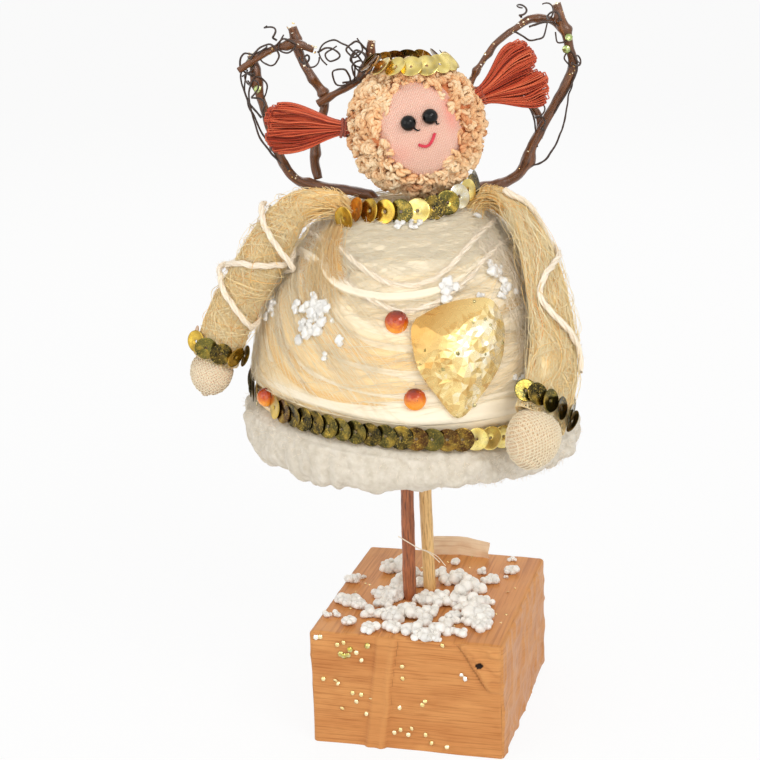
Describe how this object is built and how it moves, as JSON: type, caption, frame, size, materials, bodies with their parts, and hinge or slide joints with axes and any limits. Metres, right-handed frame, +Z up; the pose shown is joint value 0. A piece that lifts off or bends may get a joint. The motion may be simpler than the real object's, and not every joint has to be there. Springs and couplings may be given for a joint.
{
  "type": "sisal angel figurine",
  "caption": "Craft angel figurine: wound sisal dome body on twig legs over a film-wrapped block, with curly head, thread pigtails, twig wings, sequin trims and arms that bend at the shoulder.",
  "frame": {"origin": "on the floor under the block, on the upright axis of the dome body", "axes": "+Z up, -Y to the front where the face looks, +X to the figure's left"},
  "size_m": [0.1171, 0.108, 0.2123],
  "materials": {
    "block": "raw",
    "film": "glossy wood-grain film",
    "film_pale": "pale back of the film",
    "snow": "foam crumbs",
    "bark": "bark",
    "peeled": "peeled stick",
    "core": "foam",
    "ribbon": "wound sisal fibre",
    "yarn": "soft yarn",
    "fluff": "cotton wadding",
    "sequin_olive": "mirror gloss",
    "sequin_gold": "mirror gloss",
    "sequin_amber": "mirror gloss",
    "amber": "polished, clear",
    "foil": "crumpled gold foil",
    "hair": "curly yarn",
    "face": "fine knit",
    "bead": "polished",
    "mouth": "thread",
    "thread": "thread",
    "tie": "thread",
    "twig": "bark",
    "tendril": "dry",
    "wire": "plain",
    "sisal_right": "loose sisal fibre",
    "sisal_left": "loose sisal fibre",
    "hand_right": "net knit",
    "hand_left": "net knit"
  },
  "bodies": {
    "figure": {"base_block": "block", "base_film": "film", "base_flap": "film_pale", "base_snow": "snow", "leg_twig": "bark", "leg_stick": "peeled", "body_core": "core", "body_ribbon": "ribbon", "body_yarn": "yarn", "body_snow": "snow", "hem_fluff": "fluff", "hem_sequins": "sequin_olive", "collar_sequins": "sequin_olive", "shoulder_sequin": "sequin_gold", "button_upper": "amber", "button_lower": "amber", "button_side": "amber", "foil_heart": "foil", "neck_peg": "peeled", "head_ball": "core", "hair_hood": "hair", "hair_curls": "hair", "face_cloth": "face", "eye_right": "bead", "eye_left": "bead", "mouth_thread": "mouth", "halo_sequins": "sequin_gold", "pigtail_right": "thread", "pigtail_left": "thread", "pigtail_tie_right": "tie", "pigtail_tie_left": "tie", "right_wing_outer": "twig", "right_wing_inner": "twig", "right_wing_top": "twig", "right_wing_side": "twig", "right_wing_tendrils": "tendril", "left_wing_outer": "twig", "left_wing_inner": "twig", "left_wing_top": "twig", "left_wing_tendrils": "tendril", "right_shoulder_wire": "wire", "left_shoulder_wire": "wire"},
    "right_arm": {"right_arm_sisal": "sisal_right", "right_arm_wire": "wire", "right_arm_yarn": "yarn", "right_hand": "hand_right", "right_cuff_sequins": "sequin_amber"},
    "left_arm": {"left_arm_sisal": "sisal_left", "left_arm_wire": "wire", "left_arm_yarn": "yarn", "left_hand": "hand_left", "left_cuff_sequins": "sequin_olive"}
  },
  "joints": [
    {"name": "right_shoulder", "type": "hinge", "parent": "figure", "child": "right_arm", "pos_m": [-0.0186, -0.00948, 0.16186], "axis": [0, 1, 0], "range_deg": [0, 30]},
    {"name": "left_shoulder", "type": "hinge", "parent": "figure", "child": "left_arm", "pos_m": [0.02258, -0.00398, 0.16146], "axis": [-0.8211, -0.5708, 0], "range_deg": [0, 30]}
  ]
}
